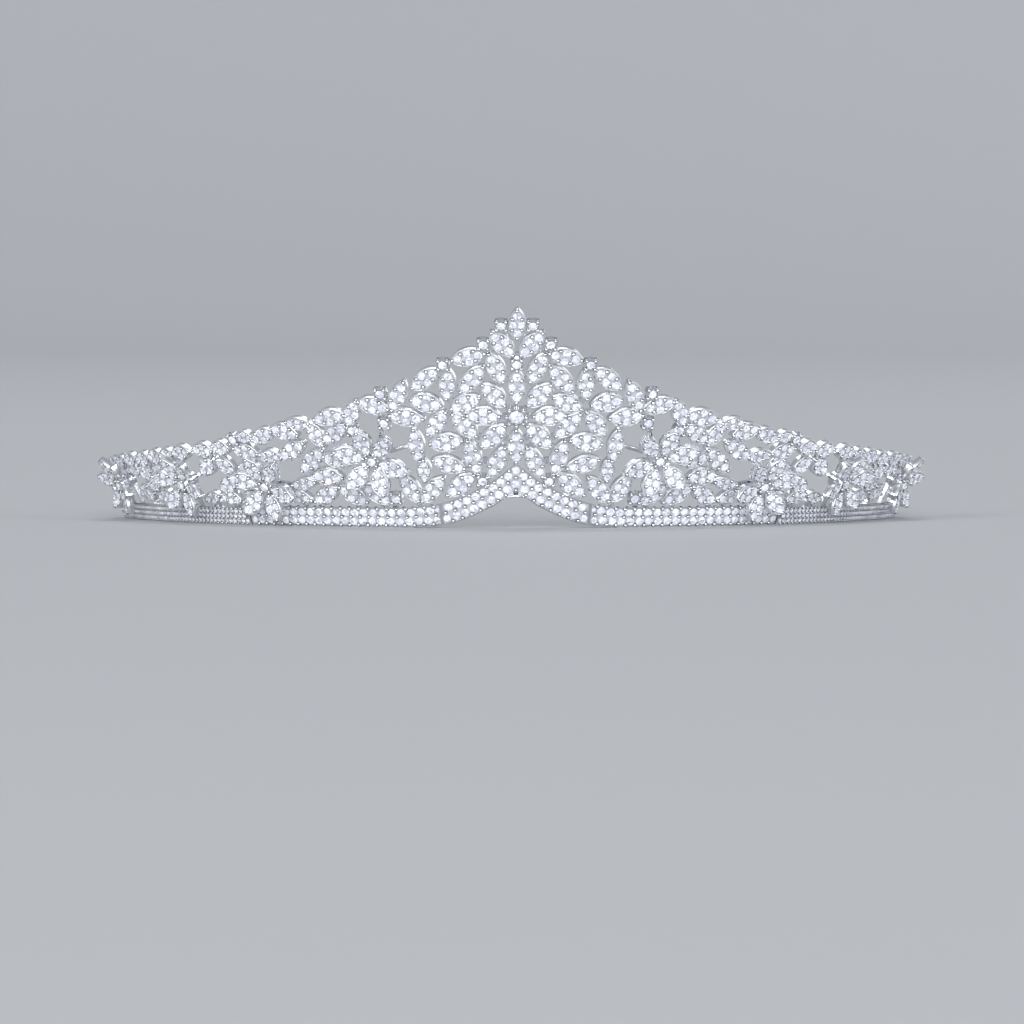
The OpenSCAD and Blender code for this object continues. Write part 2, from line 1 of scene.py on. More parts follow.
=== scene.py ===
# A diadem of white gold and white stones: five cast openwork sections, raised flowers and two plain arms.
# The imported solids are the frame. This file adds the setting work and the finish of each surface.
import bpy
import numpy as np
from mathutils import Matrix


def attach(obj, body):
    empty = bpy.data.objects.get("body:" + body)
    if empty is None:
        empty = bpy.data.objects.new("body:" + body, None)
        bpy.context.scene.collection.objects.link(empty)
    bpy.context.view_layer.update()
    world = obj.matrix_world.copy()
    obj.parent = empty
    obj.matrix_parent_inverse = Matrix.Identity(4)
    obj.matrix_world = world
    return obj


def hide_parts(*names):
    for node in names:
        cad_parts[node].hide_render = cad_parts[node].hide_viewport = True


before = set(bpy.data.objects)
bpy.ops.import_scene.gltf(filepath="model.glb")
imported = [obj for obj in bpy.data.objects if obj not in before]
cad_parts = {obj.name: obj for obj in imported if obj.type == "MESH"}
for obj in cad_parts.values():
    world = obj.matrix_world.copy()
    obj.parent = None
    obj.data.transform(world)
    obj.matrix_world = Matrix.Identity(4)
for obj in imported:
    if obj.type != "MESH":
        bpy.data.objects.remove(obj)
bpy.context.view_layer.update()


# Rim and lace plates
# The five sections are cast in 18 carat white gold, filed, rhodium plated and polished.
# Their faces are bright, with faint polishing lines. The same metal takes painted shade, a darker
# colour wherever a piece's points carry a shade number, such as round the feet of the beads.
WHITE_GOLD = (0.80, 0.81, 0.835, 1)
SECTIONS = ["center_section", "left_side_section", "right_side_section",
            "left_end_section", "right_end_section"]


def white_gold(name, base, roughness, grain, depth, mirror=1.0):
    """Polished plated metal: a noise moves its roughness, a finer one gives a shallow bump, and the
    points' shade numbers darken its colour as painted shade."""
    mat = bpy.data.materials.new(name)
    mat.use_nodes = True
    nodes, links = mat.node_tree.nodes, mat.node_tree.links
    skin = nodes["Principled BSDF"]
    skin.inputs["Base Color"].default_value = base
    skin.inputs["Metallic"].default_value = mirror
    place = nodes.new("ShaderNodeTexCoord")
    wear = nodes.new("ShaderNodeTexNoise")
    wear.inputs["Scale"].default_value = grain
    wear.inputs["Detail"].default_value = 3
    spread = nodes.new("ShaderNodeMapRange")
    spread.inputs["To Min"].default_value = roughness * 0.7
    spread.inputs["To Max"].default_value = roughness * 1.4
    lines = nodes.new("ShaderNodeTexNoise")
    lines.inputs["Scale"].default_value = grain * 4
    bump = nodes.new("ShaderNodeBump")
    bump.inputs["Strength"].default_value = 0.35
    bump.inputs["Distance"].default_value = depth
    links.new(place.outputs["Object"], wear.inputs["Vector"])
    links.new(place.outputs["Object"], lines.inputs["Vector"])
    links.new(wear.outputs["Fac"], spread.inputs["Value"])
    links.new(spread.outputs["Result"], skin.inputs["Roughness"])
    links.new(lines.outputs["Fac"], bump.inputs["Height"])
    links.new(bump.outputs["Normal"], skin.inputs["Normal"])
    # Painted shade: the points' shade number mixes the base colour towards near black.
    deep = nodes.new("ShaderNodeAttribute")
    deep.attribute_name = "shade"
    tone = nodes.new("ShaderNodeMix")
    tone.data_type = "RGBA"
    tone.inputs["A"].default_value = base
    tone.inputs["B"].default_value = (0.10, 0.10, 0.115, 1)
    links.new(deep.outputs["Fac"], tone.inputs["Factor"])
    links.new(tone.outputs["Result"], skin.inputs["Base Color"])
    return mat


def wear_finish(node, mat):
    """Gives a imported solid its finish."""
    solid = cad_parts[node]
    solid.data.materials.clear()
    solid.data.materials.append(mat)


polished = white_gold("polished_white_gold", WHITE_GOLD, 0.16, 900, 0.00002)
# Leaf edges: the same metal painted a lighter colour, a painted highlight along them, with a rougher polish.
lightened_edge_metal = white_gold("leaf_edge_lightened_white_gold", (0.92, 0.93, 0.95, 1), 0.30, 900, 0.00001)
for node in SECTIONS:
    wear_finish(node, polished)


# Pave floor of the rim
# Between its two bright edges the rim is drilled for two rows of stones. The metal left between
# the stones is a floor a little under the edges, seen as dark lines round each stone.
RIM_R = 72.0
LEAN = np.radians(25)
PEAK_H = 43.1
# The arms reach furthest back, so their sizes help to place the middle
ARM_TOP, ARM_BACK, ARM_END = 2.6, 2.0, np.radians(115)
FRONT = RIM_R + PEAK_H * np.sin(LEAN)
BACK = -(RIM_R + ARM_TOP * np.sin(LEAN) - ARM_BACK * np.cos(LEAN)) * np.cos(ARM_END)
MIDDLE_Y = (FRONT - BACK) / 2
RIM_EDGE, STONE_GAP, RIM_STONE = 0.22, 0.1, 1.6
ROW_IN = RIM_EDGE + STONE_GAP + RIM_STONE / 2
BAND_H = 2 * RIM_STONE + 3 * STONE_GAP + 2 * RIM_EDGE
CENTRE_END, SIDE_END, JEWEL_END = 13.1, 51.4, 103.2
SEAM = 0.1
# Columns of the sweep: along, lower edge, upper edge, how far the lower stones are raised
ALONG, LOWER, UPPER, RAISED = 0, 1, 2, 3
SWEEP = np.array([
    [0, 6.2, 12.9, 1.2],
    [1.84, 5.9, 11.15, 0],
    [3.85, 4.3, 9.4, 0],
    [6.4, 2.9, 7.8, 0],
    [8.85, 1.7, 6.4, 0],
    [11.4, 0.8, 5.3, 0],
    [13.9, 0.3, 4.6, 0],
    [18.9, 0, BAND_H, 0],
    [SIDE_END, 0, BAND_H, 0],
])


def wall(along, up, lift):
    """Point on the leaning wall: the rim's radius plus the slope's run, turned by along over that radius."""
    turn = along / RIM_R
    out = RIM_R + up * np.sin(LEAN) + lift * np.cos(LEAN)
    high = up * np.cos(LEAN) - lift * np.sin(LEAN)
    return np.stack([out * np.sin(turn), MIDDLE_Y - out * np.cos(turn), high + 0 * turn], -1) * 0.001


def add_piece(name, points, faces, mat, slot, smooth=False, shade=None):
    """Puts arrays of points (metres) and of faces into a mesh that rides on the part. Shade is painted
    shade, a number for each point, 0 where the surface is left bright and 1 where it is painted darkest,
    and the material reads it."""
    mesh = bpy.data.meshes.new(name)
    points = np.asarray(points, float).reshape(-1, 3)
    mesh.from_pydata(points.tolist(), [], [f for group in faces for f in np.asarray(group).tolist()])
    mesh.polygons.foreach_set("use_smooth", np.full(len(mesh.polygons), smooth))
    mesh.materials.append(mat)
    # The painted shade numbers are stored on the points for the material.
    if shade is not None:
        dark = mesh.attributes.new("shade", "FLOAT", "POINT")
        dark.data.foreach_set("value", np.asarray(shade, np.float32))
    mesh.update()
    piece = bpy.data.objects.new(name, mesh)
    bpy.context.scene.collection.objects.link(piece)
    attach(piece, "root")
    return piece


def grid_faces(rows, cols, closed=False):
    """Quads of a grid of points, row after row; closed joins the last column to the first."""
    i, j = np.meshgrid(np.arange(rows - 1), np.arange(cols if closed else cols - 1), indexing="ij")
    k = (j + 1) % cols
    return np.stack([i * cols + j, i * cols + k, (i + 1) * cols + k, (i + 1) * cols + j], -1).reshape(-1, 4)


def edge_at(along, column):
    """Height of one of the rim's lines at places along it."""
    return np.interp(np.abs(along), SWEEP[:, ALONG], SWEEP[:, column])


FLOOR_DEEP, FLOOR_STEP, EDGE_SHARE = 0.24, 0.6, 0.9
floor_metal = white_gold("pave_floor_white_gold", (0.80, 0.81, 0.85, 1), 0.40, 1400, 0.00004, 0.58)


def pave_floor(name, start, end, raised=0):
    """A strip between the rim's edges, straight across and following the sweep along."""
    along = np.linspace(start, end, int(abs(end - start) / FLOOR_STEP) + 2)
    share = np.linspace(0, 1, 4)
    low = edge_at(along, LOWER) + RIM_EDGE * EDGE_SHARE + raised
    high = edge_at(along, UPPER) - RIM_EDGE * EDGE_SHARE
    up = low + (high - low) * share[:, None]
    points = wall(along + 0 * up, up, -FLOOR_DEEP + 0 * up)
    return add_piece(name, points, [grid_faces(len(share), len(along))], floor_metal, "white_metal")


# The hole under the point stays open: the middle's floor is laid in three strips round it
POINT_HOLE, HOLE_R = 7.15, 0.4
pave_floor("center_rim_floor_left", HOLE_R, CENTRE_END - SEAM - RIM_EDGE)
pave_floor("center_rim_floor_right", -CENTRE_END + SEAM + RIM_EDGE, -HOLE_R)
pave_floor("center_rim_floor_top", -HOLE_R, HOLE_R, POINT_HOLE + HOLE_R - SWEEP[0, LOWER])
pave_floor("left_rim_floor", CENTRE_END + SEAM + RIM_EDGE, SIDE_END - SEAM - RIM_EDGE)
pave_floor("right_rim_floor", -SIDE_END + SEAM + RIM_EDGE, -CENTRE_END - SEAM - RIM_EDGE)


# Beads of the rim
# A graver raises small beads of metal between the stones, and each is pushed over the stones'
# edges and rounded: one row on each edge of the rim and one between the two rows of stones.
BEAD_SIDES = 8


def bead_shape(stem=0, dark=1):
    """A closed dome of radius one: rings at rising latitudes, a top point, and a flat foot let down by a
    stem. Its lower rings carry painted shade, and dark is how deep that painted shade is at its foot."""
    ring = np.arange(BEAD_SIDES) * 2 * np.pi / BEAD_SIDES
    lat = np.radians([0, 30, 52, 66])
    rows = len(lat)
    flat, up = np.cos(lat)[:, None], np.sin(lat)[:, None] - stem * (lat == 0)[:, None]
    points = np.stack([np.cos(ring) * flat, np.sin(ring) * flat, up + 0 * ring], -1).reshape(-1, 3)
    points = np.concatenate([points, [[0, 0, 1]]])
    here = np.arange(BEAD_SIDES)
    last = (rows - 1) * BEAD_SIDES
    cap = np.stack([here, (here + 1) % BEAD_SIDES, np.full(BEAD_SIDES, BEAD_SIDES)], -1) + last
    foot = here[::-1][None, :]
    # Painted shade round the foot: darkest at the lowest ring, none at the top.
    shade = np.append(np.repeat([0.95 * dark, 0.55, 0.12, 0], BEAD_SIDES), 0)
    return points, [grid_faces(rows, BEAD_SIDES, closed=True), cap, foot], shade


def spread(shape, middle, axes, size):
    """Copies of one shape, each sized, laid along its place's three directions and moved to its middle."""
    points, groups, shade = shape
    size = np.broadcast_to(np.asarray(size, float), (len(middle),)) * 0.001
    placed = middle[:, None, :] + np.einsum("pc,kcd->kpd", points, axes) * size[:, None, None]
    step = (np.arange(len(middle)) * len(points))[:, None, None]
    faces = [(g[None] + step).reshape(-1, g.shape[1]) for g in groups]
    return {"points": placed.reshape(-1, 3), "faces": faces, "shade": np.tile(shade, len(middle))}


def wall_axes(along, up):
    """Directions along the rim, up the slope and out of the wall, one set for each place."""
    turn = along / RIM_R
    s, c, zero = np.sin(turn), np.cos(turn), np.zeros_like(turn)
    x = np.stack([c, s, zero], -1)
    y = np.stack([np.sin(LEAN) * s, -np.sin(LEAN) * c, np.cos(LEAN) + zero], -1)
    n = np.stack([np.cos(LEAN) * s, -np.cos(LEAN) * c, -np.sin(LEAN) + zero], -1)
    return np.stack([x, y, n], 1)


def row_line(column):
    """The line of a row of stones: the rim's edge moved in by the row's inset, measured square to it."""
    along, edge = SWEEP[:, ALONG], SWEEP[:, column]
    slope = np.abs(np.diff(edge) / np.diff(along))
    steep = np.maximum(np.append(slope, 0), np.insert(slope, 0, 0))
    off = ROW_IN * np.sqrt(1 + steep ** 2)
    return along, edge + off + SWEEP[:, RAISED] if column == LOWER else edge - off


def along_line(line, places):
    """Places at given lengths along a bent line."""
    far = np.insert(np.cumsum(np.hypot(np.diff(line[0]), np.diff(line[1]))), 0, 0)
    return np.interp(places, far, line[0]), np.interp(places, far, line[1])


bright_bead = white_gold("bead_white_gold", (0.86, 0.87, 0.89, 1), 0.10, 700, 0.00001)
PITCH = RIM_STONE + STONE_GAP * 1.5
# More steps than a row has; the places past a seam are dropped
ROW_STEPS = np.arange(32)
RIM_BEAD, BEAD_OUT, BEAD_IN, BEAD_SINK = 0.4, 0.74, 0.86, 0.1
MIDDLE_CLEAR, POINT_CLEAR, SEAM_CLEAR, END_CLEAR = 0.2, 1.2, 0.45, 0.6
POINT_BEADS = [[0, POINT_HOLE + 0.35], [0, 9.95]]
low_line, high_line = row_line(LOWER), row_line(UPPER)
rim_beads = []
for line, sign in ((low_line, -1), (high_line, 1)):
    along, up = along_line(line, (ROW_STEPS + 0.5) * PITCH)
    slope = np.gradient(up, along)
    size = np.hypot(1, slope)
    rim_beads += [np.stack([along - sign * slope / size * BEAD_OUT, up + sign / size * BEAD_OUT], -1)]
    if sign > 0:
        rim_beads += [np.stack([along + slope / size * BEAD_IN, up - BEAD_IN / size], -1)]
rim_beads = np.concatenate(rim_beads)
rim_beads = rim_beads[(rim_beads[:, 0] > MIDDLE_CLEAR) & (rim_beads[:, 0] < SIDE_END - END_CLEAR)]
rim_beads = rim_beads[np.abs(rim_beads[:, 0] - CENTRE_END) > SEAM_CLEAR]
rim_beads = rim_beads[(rim_beads[:, 0] > POINT_CLEAR) | (rim_beads[:, 1] > POINT_HOLE + 1)]
rim_beads = np.concatenate([rim_beads, rim_beads * [-1, 1], POINT_BEADS])
along, up = rim_beads.T
add_piece("rim_beads", mat=bright_bead, slot="white_metal", smooth=True,
          **spread(bead_shape(), wall(along, up, -BEAD_SINK), wall_axes(along, up), RIM_BEAD))


# Arch under the point
# Where the rim's two halves meet, a small polished bar closes the lower edge under the hole.
ARCH_R, ARCH_REACH, BAR_SIDES = 0.27, 1.7, 10


def closed_tube(rings, first, last):
    """Rings of points joined into a tube, with a point at each end that closes it."""
    rows, sides = rings.shape[:2]
    here = np.arange(sides)
    ahead = (here + 1) % sides
    count = rows * sides
    points = np.concatenate([rings.reshape(-1, 3), np.reshape([first, last], (2, 3))])
    near = np.stack([np.full(sides, count), ahead, here], -1)
    far = np.stack([np.full(sides, count + 1), here + count - sides, ahead + count - sides], -1)
    return points, [grid_faces(rows, sides, closed=True), near, far]


def rounded_bar(along, up, lift, radius):
    """A round wire along a line on the wall, drawn together to a point at both ends."""
    around = np.arange(BAR_SIDES) * 2 * np.pi / BAR_SIDES
    flat = wall_axes(along, up)
    section = np.stack([np.cos(around), np.sin(around)], -1)
    ring = np.einsum("pa,kac->kpc", section, flat[:, 1:])
    middle = wall(along, up, lift + 0 * along)
    rings = middle[:, None] + ring * radius[:, None, None] * 0.001
    return closed_tube(rings[1:-1], middle[0], middle[-1])


arch = np.linspace(-ARCH_REACH, ARCH_REACH, 15)
taper = ARCH_R * np.sqrt(np.clip(1 - (arch / ARCH_REACH) ** 4, 0, 1))
points, faces = rounded_bar(arch, edge_at(arch, LOWER) + RIM_EDGE, 0.0, taper)
add_piece("arch_under_point", points, faces, polished, "white_metal", smooth=True)


# Leaves of the lace
# Each leaf is a small plate with a raised bright edge, polished and painted a lighter colour as a
# painted highlight. Inside the edge its face is cut down to a floor, and four round stones sit on it,
# held by four beads, with one more bead at each point.
LACE_BACK, LEAF_EDGE, ARC_STEPS = 0.15, 0.15, 12
FLOOR_INSET, FLOOR_LIFT = 0.14, 0.012
# Raised edge's profile: how far in from the leaf's outline, how high over its plate
EDGE_PROFILE = [(-0.015, -0.45), (-0.015, -0.02), (0.03, 0.06), (0.11, 0.08), (0.17, 0.03), (0.17, -0.12)]
# Tail along, tail up, tip along, tip up, width; the leaves on the middle line come first
MIDDLE_LEAVES = np.array([
    [0, 37.2, 0, 43.1, 2.9], [0, 24.5, 0, 31.3, 3.0], [0, 19.5, 0, 12.6, 3.1],
])
CENTRE_LEAVES = np.array([
    [0.5, 33.9, 3.9, 38.7, 3.2], [2.0, 28.6, 4.3, 34.6, 3.1], [4.6, 34.5, 9.9, 33.0, 3.2],
    [4.9, 32.0, 8.8, 26.7, 3.2], [11.0, 25.2, 10.3, 31.3, 2.9], [11.8, 31.4, 16.3, 27.4, 3.2],
    [11.6, 24.1, 16.7, 25.3, 3.5], [11.0, 23.0, 14.5, 18.2, 3.1], [10.3, 22.6, 6.3, 17.9, 3.2],
    [10.4, 23.4, 5.6, 25.8, 3.3], [1.7, 24.0, 5.4, 28.4, 3.3], [2.5, 22.0, 8.0, 22.2, 3.5],
    [1.6, 20.3, 5.8, 15.9, 3.3], [1.7, 16.0, 4.6, 9.8, 3.0], [8.0, 17.4, 6.3, 10.3, 3.1],
    [8.6, 17.2, 14.3, 16.5, 3.4], [8.4, 11.6, 14.1, 13.4, 3.1], [6.9, 10.6, 12.0, 6.2, 3.2],
])
SIDE_LEAVES = np.array([
    [12.2, 9.9, 16.5, 4.9, 3.2], [16.9, 4.9, 19.6, 10.4, 3.0], [15.6, 8.9, 15.5, 13.6, 2.4],
    [16.1, 12.8, 16.7, 19.6, 2.8], [14.7, 21.4, 20.5, 22.2, 3.3], [19.9, 22.9, 17.3, 29.0, 3.0],
    [20.2, 23.3, 25.4, 24.9, 3.2], [27.6, 20.1, 25.5, 25.1, 2.9], [27.7, 22.2, 33.5, 21.2, 3.2],
    [27.8, 20.1, 32.5, 16.8, 3.0], [27.9, 12.6, 33.2, 13.9, 3.1], [21.9, 4.7, 26.7, 8.3, 3.1],
    [26.2, 4.7, 31.4, 7.9, 3.1], [31.5, 7.5, 36.6, 4.7, 3.1], [30.0, 9.6, 35.8, 10.1, 3.2],
    [32.7, 15.3, 37.8, 10.8, 3.2], [32.6, 15.9, 34.6, 20.7, 3.0], [33.9, 20.0, 38.8, 20.7, 2.3],
    [36.8, 17.9, 41.8, 19.5, 3.1], [36.0, 16.6, 41.4, 13.4, 3.1], [35.4, 8.7, 40.5, 8.0, 2.2],
    [41.6, 18.8, 46.2, 16.8, 3.0], [45.9, 17.3, 49.2, 17.8, 2.2], [45.6, 14.1, 50.8, 15.3, 2.9],
    [41.0, 13.4, 45.6, 14.1, 2.6], [36.9, 4.9, 42.4, 6.8, 2.8], [46.4, 4.9, 51.0, 6.4, 2.8],
    [46.0, 11.0, 50.8, 11.6, 3.2],
])
END_LEAVES = np.array([
    [51.6, 14.9, 55.6, 15.6, 2.8], [55.6, 14.5, 60.3, 14.9, 3.0], [61.5, 14.3, 66.3, 13.9, 2.9],
    [66.3, 13.6, 70.3, 13.1, 2.9], [69.9, 13.3, 74.4, 12.8, 2.9], [74.4, 12.5, 79.0, 12.4, 2.9],
    [79.6, 12.3, 84.3, 12.1, 2.8], [84.8, 11.8, 88.9, 11.4, 2.7], [89.1, 11.1, 93.7, 11.2, 2.8],
    [94.0, 10.8, 98.3, 9.9, 2.7], [98.4, 9.6, 101.8, 6.6, 2.7], [102.1, 7.2, 101.6, 3.4, 2.0],
    [51.9, 10.3, 55.4, 13.0, 3.0], [56.2, 12.9, 60.2, 10.0, 3.2], [52.0, 9.0, 56.6, 6.8, 3.1],
    [52.4, 4.6, 57.1, 6.0, 2.6], [57.4, 5.5, 61.6, 4.7, 2.3], [66.9, 4.8, 71.5, 5.8, 2.5],
    [71.6, 5.5, 76.2, 4.8, 2.5], [70.0, 9.6, 74.2, 10.8, 2.8], [73.4, 8.4, 77.9, 6.6, 3.0],
    [75.2, 10.2, 79.6, 9.2, 2.9], [77.1, 5.7, 81.0, 4.8, 2.4], [79.3, 7.0, 83.0, 5.1, 2.4],
    [80.0, 9.6, 83.6, 10.2, 2.2], [90.2, 4.8, 94.6, 5.4, 2.3], [92.9, 8.4, 97.2, 7.3, 2.8],
    [95.0, 5.4, 99.4, 4.9, 2.3],
])


def lay_leaves(rows):
    """Middle, three directions, length and width of each leaf, flat on the wall where its middle is."""
    along, up = (rows[:, 0] + rows[:, 2]) / 2, (rows[:, 1] + rows[:, 3]) / 2
    run = (rows[:, 2] - rows[:, 0]) * (1 + up * np.sin(LEAN) / RIM_R)
    rise = rows[:, 3] - rows[:, 1]
    long = np.hypot(run, rise)
    flat = wall_axes(along, up)
    x = flat[:, 0] * (run / long)[:, None] + flat[:, 1] * (rise / long)[:, None]
    y = flat[:, 1] * (run / long)[:, None] - flat[:, 0] * (rise / long)[:, None]
    return wall(along, up, np.full(len(rows), -LACE_BACK)), np.stack([x, y, flat[:, 2]], 1), long, rows[:, 4]


def leaf_edge(long, wide, inset):
    """Upper half of the outline of pointed leaves, an arc from point to point, drawn in by an inset."""
    arc = (long ** 2 + wide ** 2) / 4 / wide
    off = arc - wide / 2
    r = arc + LEAF_EDGE - inset
    half = np.arccos(off / r)
    turn = half[:, None] * np.linspace(-1, 1, ARC_STEPS)[None, :]
    return r[:, None] * np.sin(turn), r[:, None] * np.cos(turn) - off[:, None]


def leaf_edges(leaves, name):
    """The raised edge: a small rounded profile carried round each leaf's outline."""
    middle, axes, long, wide = leaves
    rings = []
    for inset, high in EDGE_PROFILE:
        x, y = leaf_edge(long, wide, inset)
        x, y = np.concatenate([x[:, ::-1], x[:, 1:-1]], 1), np.concatenate([y[:, ::-1], -y[:, 1:-1]], 1)
        flat = np.stack([x, y, np.full_like(x, high)], -1)
        rings.append(middle[:, None] + np.einsum("kpc,kcd->kpd", flat, axes) * 0.001)
    points = np.stack(rings, 1)
    around = points.shape[2]
    faces = grid_faces(len(rings), around, closed=True)
    step = (np.arange(len(long)) * len(rings) * around)[:, None, None]
    faces = (faces[None] + step).reshape(-1, 4)
    return add_piece(name, points, [faces], lightened_edge_metal, "white_metal", smooth=True)


def leaf_floors(leaves, name):
    """The cut-down floor: one flat face in each leaf, its outline along one arc and back along the other."""
    middle, axes, long, wide = leaves
    x, y = leaf_edge(long, wide, FLOOR_INSET)
    x, y = np.concatenate([x, x[:, -2:0:-1]], 1), np.concatenate([-y, y[:, -2:0:-1]], 1)
    flat = np.stack([x, y, np.full_like(x, FLOOR_LIFT)], -1)
    points = middle[:, None] + np.einsum("kpc,kcd->kpd", flat, axes) * 0.001
    faces = np.arange(x.size).reshape(x.shape)
    return add_piece(name, points, [faces], floor_metal, "white_metal")


def on_leaves(leaves, spots):
    """Places on each leaf given as shares of its half length and half width, with a height in millimetres."""
    middle, axes, long, wide = leaves
    spots = np.asarray(spots, float)
    flat = np.stack([spots[None, :, 0] * long[:, None] / 2, spots[None, :, 1] * wide[:, None] / 2,
                     spots[None, :, 2] + 0 * long[:, None]], -1)
    placed = middle[:, None] + np.einsum("kpc,kcd->kpd", flat, axes) * 0.001
    return placed.reshape(-1, 3), np.repeat(axes, len(spots), 0), np.repeat(wide, len(spots))


def both_halves(rows):
    """Leaves of the left half, then the same mirrored to the right."""
    return np.concatenate([rows, rows * [-1, 1, -1, 1, 1]])


LEAF_GROUPS = {
    "center_leaf": lay_leaves(np.concatenate([MIDDLE_LEAVES, both_halves(CENTRE_LEAVES)])),
    "side_leaf": lay_leaves(both_halves(SIDE_LEAVES)),
    "end_leaf": lay_leaves(both_halves(END_LEAVES)),
}


# Stones of the leaves
# Round white stones in a cut of a table, eight kites and small triangles round it. Under the
# table the real stone shows the many bright and dark patches of its lower facets; here these are
# painted reflections, small cells of lighter and darker colour.
STONE_TABLE, STONE_KITE, STONE_CROWN, STONE_GIRDLE, STONE_PAVILION = 0.66, 0.88, 0.15, 0.02, 0.86


def flat_ring(turn, radius, height):
    """Points on a level circle."""
    return np.stack([np.cos(turn) * radius, np.sin(turn) * radius, np.full_like(turn, height)], -1)


def stone_shape():
    """A round cut of radius one: table ring, kite points half a step on, girdle of sixteen, a point below."""
    eight = np.arange(8) * np.pi / 4
    sixteen = np.arange(16) * np.pi / 8
    points = np.concatenate([
        flat_ring(eight, STONE_TABLE, STONE_CROWN),
        flat_ring(eight + np.pi / 8, STONE_KITE, STONE_CROWN * 0.5),
        flat_ring(sixteen, 1.0, STONE_GIRDLE),
        [[0, 0, -STONE_PAVILION]],
    ])
    i, j = np.arange(8), np.arange(16)
    table = i[None, :]
    stars = np.stack([i, 8 + i, (i + 1) % 8], -1)
    kites = np.stack([i, 8 + (i - 1) % 8, 16 + 2 * i, 8 + i], -1)
    halves = np.concatenate([np.stack([8 + i, 16 + 2 * i, 16 + 2 * i + 1], -1),
                             np.stack([8 + i, 16 + 2 * i + 1, 16 + (2 * i + 2) % 16], -1)])
    under = np.stack([16 + j, np.full(16, 32), 16 + (j + 1) % 16], -1)
    # Painted shade: the girdle ring is darkened, for the dark line round each stone.
    shade = np.concatenate([np.zeros(16), np.full(16, 0.75), [0]])
    return points, [table, stars, kites, halves, under], shade


def white_stone(name, cells, spark):
    """A brilliant stone: each small cell of the surface is turned its own way and has its own painted
    brightness, a painted reflection of the facets seen through the table, under a smooth hard polish.
    A weak emission, a painted glow, stands for light returned from inside, and the shade numbers paint
    the girdle darker."""
    mat = bpy.data.materials.new(name)
    mat.use_nodes = True
    nodes, links = mat.node_tree.nodes, mat.node_tree.links
    skin = nodes["Principled BSDF"]
    skin.inputs["Metallic"].default_value = 0.06
    skin.inputs["Roughness"].default_value = 0.05
    skin.inputs["IOR"].default_value = 1.75
    # Painted glow: the stone gives off a little light of its own colour.
    skin.inputs["Emission Strength"].default_value = 0.2
    place = nodes.new("ShaderNodeTexCoord")
    cloud = nodes.new("ShaderNodeTexNoise")
    cloud.inputs["Scale"].default_value = 520
    dim = nodes.new("ShaderNodeMapRange")
    dim.inputs["From Min"].default_value = 0.42
    dim.inputs["From Max"].default_value = 0.66
    dim.inputs["To Max"].default_value = 0.75
    grey = nodes.new("ShaderNodeMix")
    grey.data_type = "RGBA"
    grey.inputs["B"].default_value = (0.56, 0.58, 0.68, 1)
    # Painted reflection: each small cell takes a lighter or darker colour from the ramp below.
    patch = nodes.new("ShaderNodeTexVoronoi")
    patch.inputs["Scale"].default_value = cells
    tone = nodes.new("ShaderNodeValToRGB")
    stops = tone.color_ramp.elements
    stops[0].position, stops[0].color = 0.0, (0.36, 0.37, 0.45, 1)
    stops[1].position, stops[1].color = 0.55, (0.90, 0.915, 0.97, 1)
    tone.color_ramp.elements.new(0.2).color = (0.66, 0.68, 0.76, 1)
    apart = nodes.new("ShaderNodeSeparateColor")
    middle = nodes.new("ShaderNodeVectorMath")
    middle.operation = "SUBTRACT"
    middle.inputs[1].default_value = (0.5, 0.5, 0.5)
    turn = nodes.new("ShaderNodeVectorMath")
    turn.operation = "SCALE"
    turn.inputs["Scale"].default_value = spark
    face = nodes.new("ShaderNodeNewGeometry")
    lean = nodes.new("ShaderNodeVectorMath")
    lean.operation = "ADD"
    unit = nodes.new("ShaderNodeVectorMath")
    unit.operation = "NORMALIZE"
    links.new(place.outputs["Object"], patch.inputs["Vector"])
    links.new(patch.outputs["Color"], apart.inputs["Color"])
    links.new(apart.outputs["Red"], tone.inputs["Fac"])
    # Painted shade: the points' shade darkens the girdle towards near black.
    edge = nodes.new("ShaderNodeAttribute")
    edge.attribute_name = "shade"
    rim = nodes.new("ShaderNodeMix")
    rim.data_type = "RGBA"
    rim.inputs["B"].default_value = (0.14, 0.15, 0.18, 1)
    links.new(edge.outputs["Fac"], rim.inputs["Factor"])
    links.new(place.outputs["Object"], cloud.inputs["Vector"])
    links.new(cloud.outputs["Fac"], dim.inputs["Value"])
    links.new(dim.outputs["Result"], grey.inputs["Factor"])
    links.new(tone.outputs["Color"], grey.inputs["A"])
    links.new(grey.outputs["Result"], rim.inputs["A"])
    links.new(rim.outputs["Result"], skin.inputs["Base Color"])
    links.new(rim.outputs["Result"], skin.inputs["Emission Color"])
    links.new(patch.outputs["Color"], middle.inputs[0])
    links.new(middle.outputs["Vector"], turn.inputs[0])
    links.new(face.outputs["Normal"], lean.inputs[0])
    links.new(turn.outputs["Vector"], lean.inputs[1])
    links.new(lean.outputs["Vector"], unit.inputs[0])
    links.new(unit.outputs["Vector"], skin.inputs["Normal"])
    return mat


fine_stone = white_stone("fine_white_stone", 2900, 0.9)
chance = np.random.default_rng(7)


def sit_unevenly(axes):
    """Each stone is set by hand: turned at random about its axis and leaning a few degrees off it."""
    turn, tip = chance.uniform(0, 2 * np.pi, len(axes)), chance.normal(0, 0.06, (len(axes), 2))
    x, y, n = axes[:, 0], axes[:, 1], axes[:, 2]
    n = n + x * tip[:, :1] + y * tip[:, 1:]
    n = n / np.linalg.norm(n, axis=1, keepdims=True)
    across = x * np.cos(turn)[:, None] + y * np.sin(turn)[:, None]
    across = across - n * np.sum(across * n, 1, keepdims=True)
    across = across / np.linalg.norm(across, axis=1, keepdims=True)
    return np.stack([across, np.cross(n, across), n], 1)


